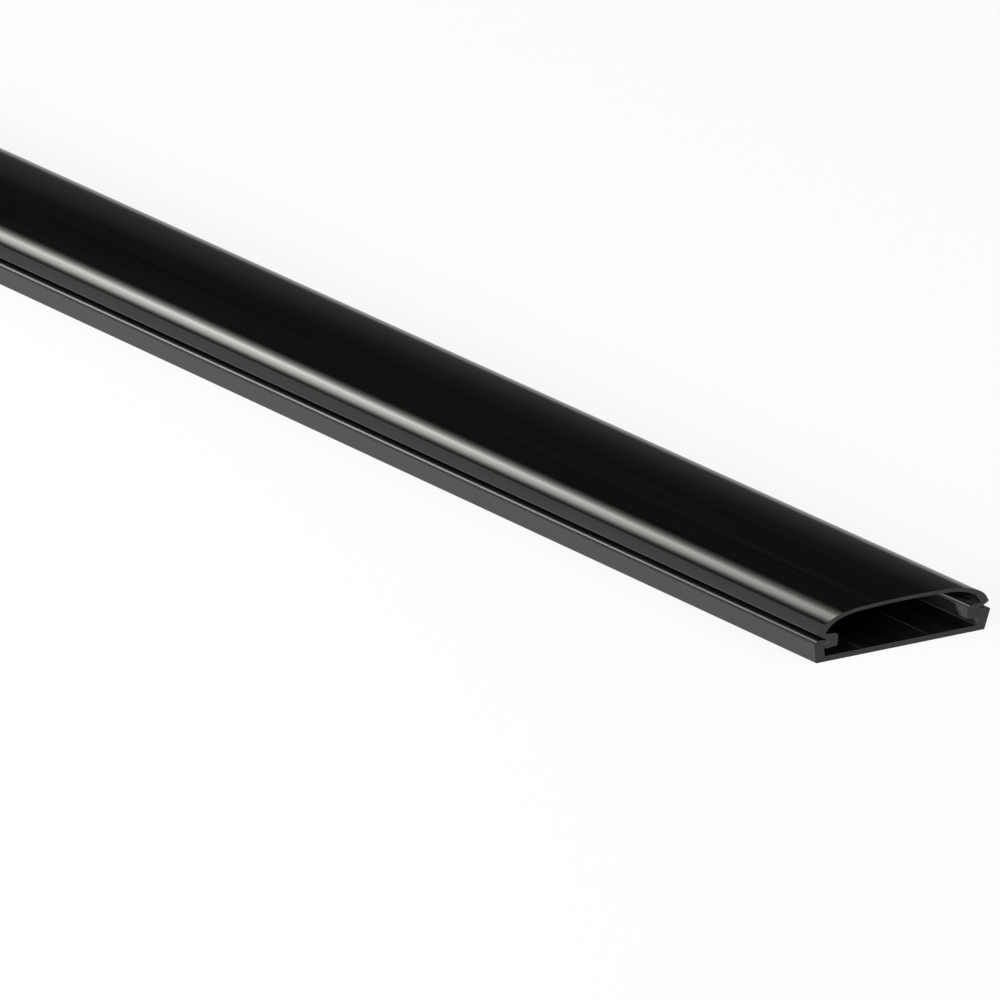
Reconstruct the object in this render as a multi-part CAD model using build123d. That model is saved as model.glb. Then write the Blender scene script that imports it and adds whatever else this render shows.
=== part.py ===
from build123d import *
import math
import os

# Cord cover raceway: a low base channel that is fixed to a wall, and a domed cover that snaps into it.
# Millimetres. X runs along the length, Y across it, and Z up from the underside of the base.
# The origin is midway along the length, under the centre line of the base.

# Stock
length = 400.0              # along the longer side
mitre_angle = 45.0          # cut at the +X end, turned away from square, long on the +Y side

# Base channel
base_width = 30.7           # across the underside
base_height = 9.1           # underside to the tops of the side walls
wall_lean = 0.65            # outward lean of each side wall over its height
floor_thickness = 2.25
wall_thickness = 1.7        # across the wall
heel_radius = 0.35          # lower outer edges
rim_radius = 1.2            # upper outer edges
floor_corner_radius = 0.1   # where the walls meet the floor inside
barb_reach = 1.15           # inward past the wall's inner face at the top
lead_in_reach = 1.2         # run across of the slope on top of the barb, which guides the cover in
lead_in_slope = 35.0        # in degrees from level
lead_in_radius = 0.5        # where the slope leaves the wall top
barb_nose = 0.2             # height of the barb's upright inner face
barb_slope = 44.0           # underside of the barb, in degrees from level
barb_radius = 0.15          # edges of the barb's inner face

# Domed cover
cover_rise = 8.6            # lips to the middle of the crown
cover_thickness = 1.4
crown_radius = 60.0         # gentle arch across the top
shoulder_radius = 8.3       # outside, between the crown and the sides
side_lean = 16.0            # inward lean of the sides, in degrees from upright
lip_setback = 0.4           # lips stand in from the widest part of the base
lip_radius = 1.0            # lower outer edge of each lip
groove_height = 2.3         # shadow groove between the base's wall top and the lip
seat_width = 0.3            # land on the barb's slope where the cover rests
foot_thickness = 1.35
foot_depth = 3.9            # wall top to the underside of the foot, at the wall
toe_drop = 0.6              # fall of the foot's underside towards the wall
ledge_drop = 0.6            # fall of the ledge from the side of the cover to the foot
ledge_radius = 1.1          # inner edge of the ledge
toe_radius = 0.4            # lower edges of the foot

# Fit
snap_clearance = 0.1        # between the foot and the wall and barb that it hooks under


# Length of edge that a round of radius 1 takes up beside a corner, which turns by so many degrees
def round_run(turn):
    return math.tan(math.radians(turn) / 2)


# Places that both pieces share, with rounds that are held back where their edges are too short
rim_y = base_width / 2 + wall_lean
wall_slope = wall_lean / base_height
wall_top = wall_thickness + barb_reach - lead_in_reach - lead_in_radius * round_run(lead_in_slope)
rim_round = min(rim_radius, 0.95 * wall_top / round_run(90 + math.degrees(math.atan(wall_slope))))
# The rounded rim is widest a little inside the sharp corner of the leaning wall
widest_y = rim_y + rim_round * (1 - wall_slope - math.hypot(1, wall_slope))
wall_inner_y = rim_y - wall_thickness
barb_y = wall_inner_y - barb_reach
lead_in_rise = math.tan(math.radians(lead_in_slope))
nose_z = base_height - lead_in_reach * lead_in_rise
nose_runs = round_run(90 - lead_in_slope) + round_run(90 - barb_slope)
barb_round = min(barb_radius, 0.95 * barb_nose / nose_runs)
seat_y = barb_y + seat_width
lip_y = widest_y - lip_setback
lip_z = base_height + groove_height
crown_z = lip_z + cover_rise
side_height = cover_rise - lip_radius - lip_y**2 / (2 * crown_radius)
# A shoulder takes up about 0.6 of its radius along the side
shoulder_round = min(shoulder_radius, side_height / 0.6)
foot_inner_y = barb_y - snap_clearance - foot_thickness
foot_z = base_height - foot_depth


def outline(points):
    return make_face(Polyline(*points, close=True))


def rounded(face, places, radius):
    corners = [face.vertices().sort_by_distance((y, z, 0))[0] for y, z in places]
    return fillet(corners, radius)


def both_sides(points):
    return points + [(-y, z) for y, z in reversed(points)]


def with_mirror(places):
    return places + [(-y, z) for y, z in places]


# Section of the base: floor, leaning walls and inward barbs
def base_section():
    heel = (base_width / 2, 0)
    rim = (rim_y, base_height)
    lead_in = (barb_y + lead_in_reach, base_height)
    nose_top = (barb_y, nose_z)
    nose_foot = (barb_y, nose_z - barb_nose)
    slope = math.tan(math.radians(barb_slope))
    # The barb's underside runs down to meet the leaning inner face of the wall
    reach = barb_reach - wall_slope * (base_height - nose_foot[1])
    root_z = nose_foot[1] - reach * slope / (1 + wall_slope * slope)
    root = (wall_inner_y - wall_slope * (base_height - root_z), root_z)
    floor_corner = (wall_inner_y - wall_slope * (base_height - floor_thickness), floor_thickness)
    face = outline(both_sides([heel, rim, lead_in, nose_top, nose_foot, root, floor_corner]))
    face = rounded(face, with_mirror([heel]), heel_radius)
    face = rounded(face, with_mirror([rim]), rim_round)
    face = rounded(face, with_mirror([lead_in]), lead_in_radius)
    face = rounded(face, with_mirror([floor_corner]), floor_corner_radius)
    return rounded(face, with_mirror([nose_top, nose_foot]), barb_round)


# Everything under the dome, at a depth below its outer face, down to the lips
def under_dome(depth):
    lean = math.radians(side_lean)
    foot_of_side = lip_y - depth / math.cos(lean)
    head_of_side = foot_of_side - cover_rise * math.tan(lean)
    sides = outline(both_sides([(foot_of_side, lip_z), (head_of_side, crown_z)]))
    arch = Pos(0, crown_z - crown_radius) * Circle(crown_radius - depth)
    body = sides & arch
    shoulders = body.vertices().sort_by(Axis.Y)[-2:]
    return fillet(shoulders, shoulder_round - depth)


# One foot of the cover: the lip, the seat on the barb's slope, the neck past the barb and the toe under it
def foot_section(base):
    ledge_root = (lip_y - cover_thickness / math.cos(math.radians(side_lean)), lip_z)
    ledge = (foot_inner_y, lip_z - ledge_drop)
    lip = (lip_y, lip_z)
    seat = (seat_y, nose_z + seat_width * lead_in_rise)
    upper = outline([ledge_root, ledge, (foot_inner_y, nose_z), (barb_y, nose_z), seat, lip])
    upper = rounded(upper, [ledge], ledge_radius)
    blank = outline([
        (foot_inner_y, foot_z + toe_drop),
        (wall_inner_y, foot_z),
        (wall_inner_y, nose_z),
        (foot_inner_y, nose_z),
    ])
    lower = blank - offset(base, snap_clearance)
    toes = lower.vertices().sort_by(Axis.Y)[:2]
    return upper + fillet(toes, toe_radius)


# Section of the cover: the domed wall and its two feet
def cover_section(base):
    wall = under_dome(0) - under_dome(cover_thickness)
    foot = foot_section(base)
    section = wall + foot + mirror(foot, Plane.YZ)
    return rounded(section, with_mirror([(lip_y, lip_z)]), lip_radius)


# A length with one square end and one mitred end, from stock that is longer than the cut
def cut_length(section):
    stock = extrude(Plane.YZ.offset(-length / 2) * section, length + base_width)
    turn = math.radians(mitre_angle)
    saw = Plane(origin=(length / 2, widest_y, 0), z_dir=(math.cos(turn), -math.sin(turn), 0))
    return split(stock, bisect_by=saw, keep=Keep.BOTTOM)


base_profile = base_section()
pieces = {
    "base_channel": cut_length(base_profile),
    "domed_cover": cut_length(cover_section(base_profile)),
}

os.makedirs("parts", exist_ok=True)
for name, piece in pieces.items():
    piece.label = name
    export_step(piece, f"parts/{name}.step")
    print(name, round(piece.volume, 1), "mm3")
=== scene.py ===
import math
import bpy
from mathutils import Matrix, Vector


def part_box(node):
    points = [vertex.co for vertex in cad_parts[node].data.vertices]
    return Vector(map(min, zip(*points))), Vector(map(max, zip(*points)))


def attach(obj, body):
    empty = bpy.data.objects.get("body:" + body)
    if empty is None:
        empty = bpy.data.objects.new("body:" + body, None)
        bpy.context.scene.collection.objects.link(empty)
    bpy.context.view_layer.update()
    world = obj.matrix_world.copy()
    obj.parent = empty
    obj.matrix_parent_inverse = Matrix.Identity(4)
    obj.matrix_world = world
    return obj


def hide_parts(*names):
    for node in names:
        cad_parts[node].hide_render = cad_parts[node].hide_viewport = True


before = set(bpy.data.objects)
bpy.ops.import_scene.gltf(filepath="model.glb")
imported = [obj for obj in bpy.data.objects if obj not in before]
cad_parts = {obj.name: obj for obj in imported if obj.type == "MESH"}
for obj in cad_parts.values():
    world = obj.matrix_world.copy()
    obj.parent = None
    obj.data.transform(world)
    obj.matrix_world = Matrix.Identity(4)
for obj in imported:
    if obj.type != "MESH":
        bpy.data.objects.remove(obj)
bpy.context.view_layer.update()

mm = 0.001                # sizes below are in millimetres, the scene is in metres
samePlace = 1e-6 * mm     # points closer than this are one point

print("frame loaded:", sorted(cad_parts))

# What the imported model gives: the length, the widest part and the heights
baseLow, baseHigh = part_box("base_channel")
coverLow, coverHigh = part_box("domed_cover")
squareEndX = baseLow.x
longEndX = baseHigh.x
widestY = baseHigh.y
wallTopZ = baseHigh.z
crownZ = coverHigh.z - 0.001 * mm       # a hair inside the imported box


# Drawing a section: a pen of one vertex that is extruded along lines and spun round arcs
def startOutline(name, y, z):
    if bpy.context.mode != 'OBJECT':
        bpy.ops.object.mode_set(mode='OBJECT')
    bpy.ops.object.select_all(action='DESELECT')
    bpy.ops.mesh.primitive_plane_add(size=mm, location=(squareEndX, y, z))
    piece = bpy.context.object
    piece.name = name
    piece.data.name = name
    bpy.ops.object.transform_apply(location=True, rotation=True, scale=True)
    bpy.ops.object.mode_set(mode='EDIT')
    bpy.ops.mesh.select_mode(type='VERT')
    bpy.ops.mesh.select_all(action='SELECT')
    bpy.ops.mesh.merge(type='CENTER')
    return piece, [y, z]


def lineTo(pen, y, z):
    move = (0, y - pen[0], z - pen[1])
    if math.hypot(*move) > samePlace:
        bpy.ops.mesh.extrude_region_move(TRANSFORM_OT_translate={"value": move})
    pen[0], pen[1] = y, z


def arcAbout(pen, centreY, centreZ, turn, stepDegrees):
    steps = max(2, math.ceil(abs(math.degrees(turn)) / stepDegrees))
    bpy.ops.mesh.spin(steps=steps, angle=-turn, center=(squareEndX, centreY, centreZ), axis=(1, 0, 0))
    awayY, awayZ = pen[0] - centreY, pen[1] - centreZ
    pen[0] = centreY + awayY * math.cos(turn) - awayZ * math.sin(turn)
    pen[1] = centreZ + awayY * math.sin(turn) + awayZ * math.cos(turn)


# Lines through corners given as (y, z, radius), each rounded where its radius isn't zero
def throughCorners(pen, corners, stepDegrees):
    for i, (y, z, radius) in enumerate(corners):
        if radius == 0 or i == len(corners) - 1:
            lineTo(pen, y, z)
            continue
        corner = Vector((y, z))
        inward = (corner - Vector(pen)).normalized()
        outward = (Vector(corners[i + 1][:2]) - corner).normalized()
        turn = math.atan2(inward.x * outward.y - inward.y * outward.x, inward.dot(outward))
        start = corner - inward * radius * math.tan(abs(turn) / 2)
        side = math.copysign(1, turn)
        centre = start + Vector((-inward.y, inward.x)) * radius * side
        lineTo(pen, start.x, start.y)
        arcAbout(pen, centre.x, centre.y, turn, stepDegrees)


# The stock that both pieces are cut from
stockCut = {
    "joinWithin": 0.002,        # ends of the two halves that lie closer become one
    "mitreDegrees": 45.0,       # turned away from square, long on the +Y side
    "sawnFacing": 0.999,        # cosine within which a face lies in a cut
    "sawnEdge": 0.05,           # chamfer that the saw leaves round each cut end
    "smoothBelow": 32.0,        # degrees between faces that shade as one curve
}


# Two halves are drawn and the second, still open for editing, is turned over to the -Y side.
# They are joined to a closed outline, which is then drawn out along the stock.
def extrudeStock(piece, otherHalf):
    bpy.ops.mesh.select_all(action='SELECT')
    bpy.ops.transform.resize(value=(1, -1, 1), center_override=(squareEndX, 0, 0))
    bpy.ops.object.mode_set(mode='OBJECT')
    otherHalf.select_set(True)
    piece.select_set(True)
    bpy.context.view_layer.objects.active = piece
    bpy.ops.object.join()
    bpy.ops.object.mode_set(mode='EDIT')
    bpy.ops.mesh.select_all(action='SELECT')
    bpy.ops.mesh.remove_doubles(threshold=stockCut["joinWithin"] * mm)
    bpy.ops.mesh.edge_face_add()
    bpy.ops.mesh.extrude_region_move(TRANSFORM_OT_translate={"value": (longEndX - squareEndX, 0, 0)})
    bpy.ops.mesh.select_all(action='SELECT')
    bpy.ops.mesh.normals_make_consistent(inside=False)


def mitreNormal():
    turn = math.radians(stockCut["mitreDegrees"])
    return Vector((math.cos(turn), -math.sin(turn), 0))


# Saws the mitre, chamfers both cut ends and gives the sawn faces the second material
def cutAndFinish(piece, extruded, sawn):
    bpy.ops.mesh.select_all(action='SELECT')
    tip = (longEndX, widestY, 0)
    bpy.ops.mesh.bisect(plane_co=tip, plane_no=mitreNormal(), use_fill=True, clear_outer=True)
    bpy.ops.mesh.select_all(action='SELECT')
    bpy.ops.mesh.normals_make_consistent(inside=False)
    bpy.ops.mesh.select_all(action='DESELECT')
    bpy.ops.object.mode_set(mode='OBJECT')
    piece.data.materials.append(extruded)
    piece.data.materials.append(sawn)
    squareNormal = Vector((-1, 0, 0))
    for face in piece.data.polygons:
        facing = max(face.normal.dot(mitreNormal()), face.normal.dot(squareNormal))
        if facing > stockCut["sawnFacing"]:
            face.select = True
            face.material_index = 1
    bpy.ops.object.mode_set(mode='EDIT')
    bpy.ops.mesh.select_mode(type='FACE')
    bpy.ops.mesh.region_to_loop()
    bpy.ops.mesh.bevel(offset=stockCut["sawnEdge"] * mm, segments=1, clamp_overlap=True, material=1)
    bpy.ops.object.mode_set(mode='OBJECT')
    bpy.ops.object.shade_smooth_by_angle(angle=math.radians(stockCut["smoothBelow"]))
    weighted = piece.modifiers.new("flatFacesStayFlat", 'WEIGHTED_NORMAL')
    weighted.keep_sharp = True
    bpy.ops.object.modifier_apply(modifier=weighted.name)


# Finishes
def newMaterial(name):
    material = bpy.data.materials.new(name)
    material.use_nodes = True
    nodes = material.node_tree.nodes
    return material, nodes, material.node_tree.links, nodes["Principled BSDF"]


# Object coordinates stretched by a scale along each axis
def stretched(nodes, links, scale):
    place = nodes.new("ShaderNodeTexCoord")
    mapping = nodes.new("ShaderNodeMapping")
    mapping.inputs["Scale"].default_value = scale
    links.new(place.outputs["Object"], mapping.inputs["Vector"])
    return mapping.outputs["Vector"]


def noise(nodes, links, vector, detail, roughness):
    texture = nodes.new("ShaderNodeTexNoise")
    texture.inputs["Scale"].default_value = 1.0
    texture.inputs["Detail"].default_value = detail
    texture.inputs["Roughness"].default_value = roughness
    links.new(vector, texture.inputs["Vector"])
    return texture.outputs["Fac"]


noiseSpread = (0.25, 0.75)      # nearly all of a noise lies between these


def remap(nodes, links, value, low, high):
    ranged = nodes.new("ShaderNodeMapRange")
    ranged.inputs["From Min"].default_value = noiseSpread[0]
    ranged.inputs["From Max"].default_value = noiseSpread[1]
    ranged.inputs["To Min"].default_value = low
    ranged.inputs["To Max"].default_value = high
    links.new(value, ranged.inputs["Value"])
    return ranged.outputs["Result"]


def grey(nodes, links, value, low, high):
    ramp = nodes.new("ShaderNodeValToRGB")
    for stop, position, colour in zip(ramp.color_ramp.elements, noiseSpread, (low, high)):
        stop.position = position
        stop.color = (*colour, 1)
    links.new(value, ramp.inputs["Fac"])
    return ramp.outputs["Color"]


def raised(nodes, links, height, strength, depth, shader):
    bump = nodes.new("ShaderNodeBump")
    bump.inputs["Strength"].default_value = strength
    bump.inputs["Distance"].default_value = depth * mm
    links.new(height, bump.inputs["Height"])
    links.new(bump.outputs["Normal"], shader.inputs["Normal"])


# Extruded face: black plastic with fine lines that the die leaves along the length
def extrudedFinish(name, look):
    material, nodes, links, shader = newMaterial(name)
    lines = noise(nodes, links, stretched(nodes, links, look["lineScale"]), *look["lineNoise"])
    cloud = noise(nodes, links, stretched(nodes, links, look["cloudScale"]), *look["cloudNoise"])
    links.new(grey(nodes, links, lines, look["dark"], look["light"]), shader.inputs["Base Color"])
    links.new(remap(nodes, links, cloud, *look["roughness"]), shader.inputs["Roughness"])
    shader.inputs["IOR"].default_value = look["ior"]
    raised(nodes, links, lines, look["lineBump"], look["lineDepth"], shader)
    return material


# Sawn end: dull grey with scratches across the cut
def sawnFinish(name, look):
    material, nodes, links, shader = newMaterial(name)
    marks = noise(nodes, links, stretched(nodes, links, look["markScale"]), *look["markNoise"])
    links.new(grey(nodes, links, marks, look["dark"], look["light"]), shader.inputs["Base Color"])
    links.new(remap(nodes, links, marks, *look["roughness"]), shader.inputs["Roughness"])
    shader.inputs["IOR"].default_value = look["ior"]
    raised(nodes, links, marks, look["markBump"], look["markDepth"], shader)
    return material


coverLook = {
    "dark": (0.0008, 0.0008, 0.0009),
    "light": (0.006, 0.006, 0.0064),
    "roughness": (0.11, 0.155),
    "ior": 1.52,
    "lineScale": (6, 700, 700),         # long along X, fine across it
    "lineNoise": (5.0, 0.6),            # detail and roughness
    "cloudScale": (30, 160, 160),       # slow changes of gloss
    "cloudNoise": (3.0, 0.5),
    "lineBump": 0.3,
    "lineDepth": 0.004,
}
baseLook = dict(coverLook, roughness=(0.22, 0.3))
sawnLook = {
    "dark": (0.0095, 0.0095, 0.0098),
    "light": (0.019, 0.019, 0.0194),
    "roughness": (0.55, 0.75),
    "ior": 1.45,
    "markScale": (900, 900, 5200),      # scratches lie level, across the cut
    "markNoise": (5.0, 0.65),
    "markBump": 0.4,
    "markDepth": 0.02,
}

sawnBlack = sawnFinish("sawnBlack", sawnLook)
print("finishes made")

# Base channel: floor, leaning walls, rounded rims and inward barbs
baseSizes = {
    "underside": 30.7,          # across the bottom
    "wallLean": 0.65,           # outward over the height
    "floor": 2.25,
    "wall": 1.7,
    "heelRadius": 0.35,
    "rimRadius": 1.2,
    "floorCornerRadius": 0.1,
    "barbReach": 1.15,
    "leadInReach": 1.2,         # run across of the slope on top of the barb
    "leadInDegrees": 35.0,      # from level
    "leadInRadius": 0.5,
    "barbNose": 0.2,
    "barbDegrees": 44.0,        # underside of the barb, from level
    "barbRadius": 0.15,
    "guideLines": (5.3, 7.0),   # raised lines along the floor, from the middle to the +Y and -Y sides
    "guideRadius": 0.05,
    "guideStep": 22.5,          # degrees for each facet of a raised line
    "arcStep": 7.0,             # degrees for each facet of the small rounds
}

halfUnderside = baseSizes["underside"] / 2 * mm
rimY = halfUnderside + baseSizes["wallLean"] * mm
wallSlope = baseSizes["wallLean"] * mm / wallTopZ
wallInnerY = rimY - baseSizes["wall"] * mm
barbY = wallInnerY - baseSizes["barbReach"] * mm
barbSlope = math.tan(math.radians(baseSizes["barbDegrees"]))
leadInRise = math.tan(math.radians(baseSizes["leadInDegrees"]))
noseZ = wallTopZ - baseSizes["leadInReach"] * leadInRise * mm
noseFootZ = noseZ - baseSizes["barbNose"] * mm


def wallFaceY(z, clearance=0.0):
    return wallInnerY - wallSlope * (wallTopZ - z) - clearance * math.hypot(1, wallSlope)


def barbUndersideRoot(clearance=0.0):
    # where the barb's underside meets the wall, both moved into the channel by the clearance
    startZ = noseFootZ - clearance * math.hypot(1, barbSlope)
    topY = wallInnerY - clearance * math.hypot(1, wallSlope)
    rise = (topY - barbY - wallSlope * (wallTopZ - startZ)) * barbSlope / (1 + wallSlope * barbSlope)
    return wallFaceY(startZ - rise, clearance), startZ - rise


def drawBaseHalf(guideY):
    piece, pen = startOutline("raceway_base", 0, 0)
    floorZ = baseSizes["floor"] * mm
    guideRound = baseSizes["guideRadius"] * mm
    throughCorners(pen, [
        (halfUnderside, 0, baseSizes["heelRadius"] * mm),
        (rimY, wallTopZ, baseSizes["rimRadius"] * mm),
        (barbY + baseSizes["leadInReach"] * mm, wallTopZ, baseSizes["leadInRadius"] * mm),
        (barbY, noseZ, baseSizes["barbRadius"] * mm),
        (barbY, noseFootZ, baseSizes["barbRadius"] * mm),
        (*barbUndersideRoot(), 0),
        (wallFaceY(floorZ), floorZ, baseSizes["floorCornerRadius"] * mm),
        (guideY + guideRound, floorZ, 0),
    ], baseSizes["arcStep"])
    arcAbout(pen, guideY, floorZ, math.pi, baseSizes["guideStep"])
    lineTo(pen, 0, floorZ)
    return piece


base, leftHalf = (drawBaseHalf(guide * mm) for guide in baseSizes["guideLines"])
extrudeStock(base, leftHalf)
cutAndFinish(base, extrudedFinish("extrudedBase", baseLook), sawnBlack)
print("base made:", len(base.data.polygons), "faces")

# Domed cover: an even wall bent over the channel, with lips and hooked feet
coverSizes = {
    "wall": 1.4,
    "crownRadius": 60.0,
    "shoulderRadius": 8.3,
    "sideLean": 16.0,           # degrees inward from upright
    "lipSetback": 0.4,          # from the widest part of the base
    "lipRadius": 1.0,
    "groove": 2.3,              # height of the shadow groove above the base
    "seat": 0.3,                # land on the barb's slope
    "foot": 1.35,
    "footDepth": 3.9,           # below the wall top, at the wall
    "toeDrop": 0.6,             # fall of the foot's underside towards the wall
    "ledgeDrop": 0.6,
    "ledgeRadius": 1.1,
    "toeRadius": 0.4,
    "clearance": 0.1,           # round the barb
    "crownStep": 0.7,           # degrees for each facet of the crown
    "shoulderStep": 1.6,
    "arcStep": 7.0,
}


def drawCoverHalf():
    size = {key: value * mm for key, value in coverSizes.items()}
    lean = math.radians(coverSizes["sideLean"])
    lip = Vector((widestY - size["lipSetback"], wallTopZ + size["groove"]))
    alongSide = Vector((-math.sin(lean), math.cos(lean)))
    offSide = Vector((math.cos(lean), math.sin(lean)))
    crownCentre = Vector((0, crownZ - size["crownRadius"]))

    # the shoulder's centre is its radius inside the side and touches the crown from within
    onSide = lip - offSide * size["shoulderRadius"] - crownCentre
    reach = size["crownRadius"] - size["shoulderRadius"]
    along = onSide.dot(alongSide)
    rise = -along + math.sqrt(along ** 2 - onSide.length_squared + reach ** 2)
    shoulder = crownCentre + onSide + alongSide * rise
    crownTurn = math.atan2(*(shoulder - crownCentre))
    shoulderTurn = math.pi / 2 - crownTurn - lean

    footInnerY = barbY - size["clearance"] - size["foot"]
    footZ = wallTopZ - size["footDepth"]
    toeFall = size["toeDrop"] / (wallInnerY - footInnerY)
    wallGap = size["clearance"] * math.hypot(1, wallSlope)
    toeZ = (footZ + toeFall * (wallSlope * wallTopZ + wallGap)) / (1 + toeFall * wallSlope)
    ledgeRootY = lip.x - size["wall"] / math.cos(lean)
    barbRound = (baseSizes["barbRadius"] + coverSizes["clearance"]) * mm
    noseY = barbY - size["clearance"]
    hookZ = noseFootZ - size["clearance"] * (math.hypot(1, barbSlope) - barbSlope)

    piece, pen = startOutline("raceway_cover", 0, crownZ - size["wall"])
    arcAbout(pen, *crownCentre, -crownTurn, coverSizes["crownStep"])
    arcAbout(pen, *shoulder, -shoulderTurn, coverSizes["shoulderStep"])
    throughCorners(pen, [
        (ledgeRootY, lip.y, 0),
        (footInnerY, lip.y - size["ledgeDrop"], size["ledgeRadius"]),
        (footInnerY, footZ + size["toeDrop"], size["toeRadius"]),
        (wallFaceY(toeZ, size["clearance"]), toeZ, size["toeRadius"]),
        (*barbUndersideRoot(size["clearance"]), 0),
        (noseY, hookZ, barbRound),
        (noseY, noseZ, 0),
        (barbY, noseZ, 0),
        (barbY + size["seat"], noseZ + size["seat"] * leadInRise, 0),
        (lip.x, lip.y, size["lipRadius"]),
        (*(shoulder + offSide * size["shoulderRadius"]), 0),
    ], coverSizes["arcStep"])
    arcAbout(pen, *shoulder, shoulderTurn, coverSizes["shoulderStep"])
    arcAbout(pen, *crownCentre, crownTurn, coverSizes["crownStep"])
    return piece


cover, leftHalf = drawCoverHalf(), drawCoverHalf()
extrudeStock(cover, leftHalf)
cutAndFinish(cover, extrudedFinish("extrudedCover", coverLook), sawnBlack)
print("cover made:", len(cover.data.polygons), "faces")

for piece, node, slotName in (
    (base, "base_channel", "base_plastic"),
    (cover, "domed_cover", "cover_plastic"),
):
    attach(piece, "root")
    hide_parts(node)

# Camera, set where the photograph was taken from
cameraView = {
    "lens": 156.4,
    "sensor": 36.0,
    "azimuth": 30.84,
    "elevation": 50.86,
    "distance": 1097.5,
    "clip": (10.0, 50000.0),
    "target": (75.822, -10.62, 0.0),
}


def makeCamera():
    azimuth = math.radians(cameraView["azimuth"])
    elevation = math.radians(cameraView["elevation"])
    back = Vector((
        math.sin(azimuth) * math.cos(elevation),
        -math.cos(azimuth) * math.cos(elevation),
        math.sin(elevation),
    ))
    place = (Vector(cameraView["target"]) + back * cameraView["distance"]) * mm
    bpy.ops.object.camera_add(location=place, rotation=(-back).to_track_quat('-Z', 'Y').to_euler())
    camera = bpy.context.object
    camera.data.lens = cameraView["lens"]
    camera.data.sensor_width = cameraView["sensor"]
    camera.data.clip_start, camera.data.clip_end = (edge * mm for edge in cameraView["clip"])
    bpy.context.scene.camera = camera


makeCamera()
print("camera set")

# Studio: a wide soft box in front, one above on the right, a dim room and a white floor
softBoxes = {
    "frontBox": {
        "place": (-220, -635, 462), "aim": (-220, 0, 15), "size": (1180, 1000),
        # each glow: across and up from the middle, half width, half height, peak
        "glows": [(-180, 25, 900, 560, 3.9), (-150, -20, 670, 380, 7.8), (-65, 60, 350, 115, 5.3)],
    },
    "topBox": {
        "place": (650, 250, 800), "aim": (80, 0, 0), "size": (800, 800),
        "glows": [(0, 0, 400, 400, 10.0)],
    },
}
boxColour = (1.0, 0.995, 0.93)
room = {
    "front": 0.04, "back": 0.32, "high": 0.035,     # brightness of the walls and the ceiling
    "turn": (-0.3, 0.3),                            # where the front passes into the back
    "edge": (0.56, 0.74),                           # sine of the height where walls pass into ceiling
}
floorLook = {
    "size": 12000.0, "drop": 0.02,                  # across, and below the underside
    "colour": (0.85, 0.85, 0.85), "glow": 0.88,     # the glow is the share that shows plain white
}


def smoothRange(nodes, between, low, high):
    ranged = nodes.new("ShaderNodeMapRange")
    ranged.interpolation_type = 'SMOOTHSTEP'
    ranged.inputs["From Min"].default_value = between[0]
    ranged.inputs["From Max"].default_value = between[1]
    ranged.inputs["To Min"].default_value = low
    ranged.inputs["To Max"].default_value = high
    return ranged


# A soft box has one or more bright middles, which fade out towards its rim
def makeSoftBox(name, box):
    place, aim = Vector(box["place"]) * mm, Vector(box["aim"]) * mm
    turned = (aim - place).to_track_quat('-Z', 'Y').to_euler()
    bpy.ops.object.light_add(type='AREA', location=place, rotation=turned)
    lamp = bpy.context.object
    lamp.name = name
    light = lamp.data
    light.shape = 'RECTANGLE'
    light.size, light.size_y = (side * mm for side in box["size"])
    light.energy = math.pi * light.size * light.size_y      # so its size leaves the brightness as it is
    light.color = boxColour
    light.use_nodes = True
    nodes, links = light.node_tree.nodes, light.node_tree.links
    where = nodes.new("ShaderNodeNewGeometry")
    total = None
    for across, up, halfWidth, halfHeight, peak in box["glows"]:
        scale = (box["size"][0] / halfWidth, box["size"][1] / halfHeight)
        centre = (0.5 + across / box["size"][0], 0.5 + up / box["size"][1])
        middle = nodes.new("ShaderNodeMapping")
        middle.inputs["Scale"].default_value = (*scale, 0)
        middle.inputs["Location"].default_value = (-centre[0] * scale[0], -centre[1] * scale[1], 0)
        fade = nodes.new("ShaderNodeTexGradient")
        fade.gradient_type = 'SPHERICAL'
        level = smoothRange(nodes, (0.0, 1.0), 0.0, peak)
        links.new(where.outputs["Parametric"], middle.inputs["Vector"])
        links.new(middle.outputs["Vector"], fade.inputs["Vector"])
        links.new(fade.outputs["Fac"], level.inputs["Value"])
        added = nodes.new("ShaderNodeMath")
        added.inputs[1].default_value = 0.0
        links.new(level.outputs["Result"], added.inputs[0])
        if total:
            links.new(total, added.inputs[1])
        total = added.outputs["Value"]
    links.new(total, nodes["Emission"].inputs["Strength"])


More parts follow.
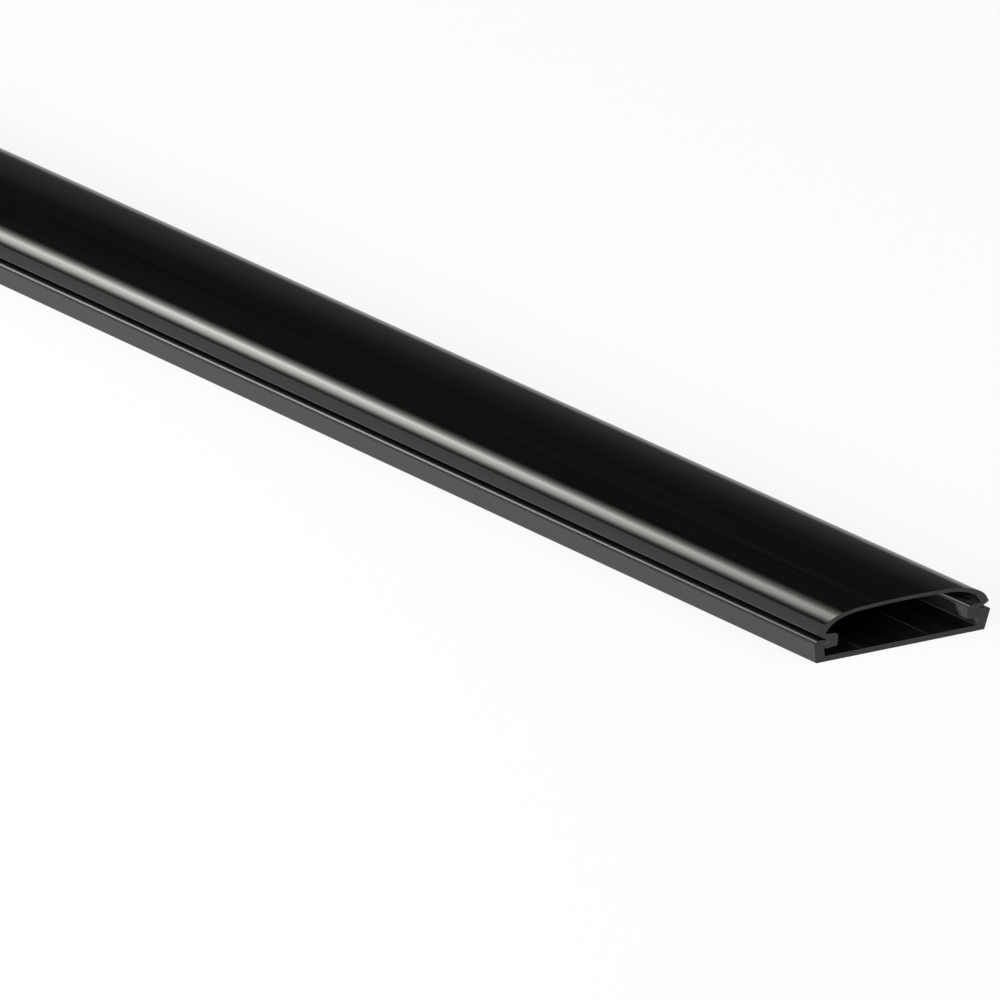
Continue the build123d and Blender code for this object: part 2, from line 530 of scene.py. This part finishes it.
def makeRoom():
    world = bpy.data.worlds.new("room")
    bpy.context.scene.world = world
    world.use_nodes = True
    nodes, links = world.node_tree.nodes, world.node_tree.links
    place = nodes.new("ShaderNodeTexCoord")
    split = nodes.new("ShaderNodeSeparateXYZ")
    walls = smoothRange(nodes, room["turn"], room["front"], room["back"])
    level = smoothRange(nodes, room["edge"], 0.0, room["high"])
    links.new(place.outputs["Generated"], split.inputs["Vector"])
    links.new(split.outputs["Y"], walls.inputs["Value"])
    links.new(split.outputs["Z"], level.inputs["Value"])
    links.new(walls.outputs["Result"], level.inputs["To Min"])
    links.new(level.outputs["Result"], nodes["Background"].inputs["Strength"])
    nodes["Background"].inputs["Color"].default_value = (1, 1, 1, 1)


def makeFloor():
    bpy.ops.object.select_all(action='DESELECT')
    place = (0, 0, baseLow.z - floorLook["drop"] * mm)
    bpy.ops.mesh.primitive_plane_add(size=floorLook["size"] * mm, location=place)
    floor = bpy.context.object
    floor.name = "floor"
    material = bpy.data.materials.new("floorWhite")
    material.use_nodes = True
    nodes, links = material.node_tree.nodes, material.node_tree.links
    nodes.remove(nodes["Principled BSDF"])
    diffuse = nodes.new("ShaderNodeBsdfDiffuse")
    diffuse.inputs["Color"].default_value = (*floorLook["colour"], 1)
    glow = nodes.new("ShaderNodeEmission")
    path = nodes.new("ShaderNodeLightPath")
    seen = nodes.new("ShaderNodeMath")
    seen.operation = 'MAXIMUM'
    mirrored = nodes.new("ShaderNodeMath")
    mirrored.operation = 'MAXIMUM'
    share = nodes.new("ShaderNodeMath")
    share.operation = 'MULTIPLY'
    share.inputs[1].default_value = floorLook["glow"]
    mix = nodes.new("ShaderNodeMixShader")
    links.new(path.outputs["Is Glossy Ray"], mirrored.inputs[0])
    links.new(path.outputs["Is Transmission Ray"], mirrored.inputs[1])
    links.new(path.outputs["Is Camera Ray"], seen.inputs[0])
    links.new(mirrored.outputs["Value"], seen.inputs[1])
    links.new(seen.outputs["Value"], share.inputs[0])
    links.new(share.outputs["Value"], mix.inputs["Fac"])
    links.new(diffuse.outputs["BSDF"], mix.inputs[1])
    links.new(glow.outputs["Emission"], mix.inputs[2])
    links.new(mix.outputs["Shader"], nodes["Material Output"].inputs["Surface"])
    floor.data.materials.append(material)


for name, box in softBoxes.items():
    makeSoftBox(name, box)
makeRoom()
makeFloor()
bpy.context.scene.view_settings.view_transform = 'Standard'
print("studio lit")
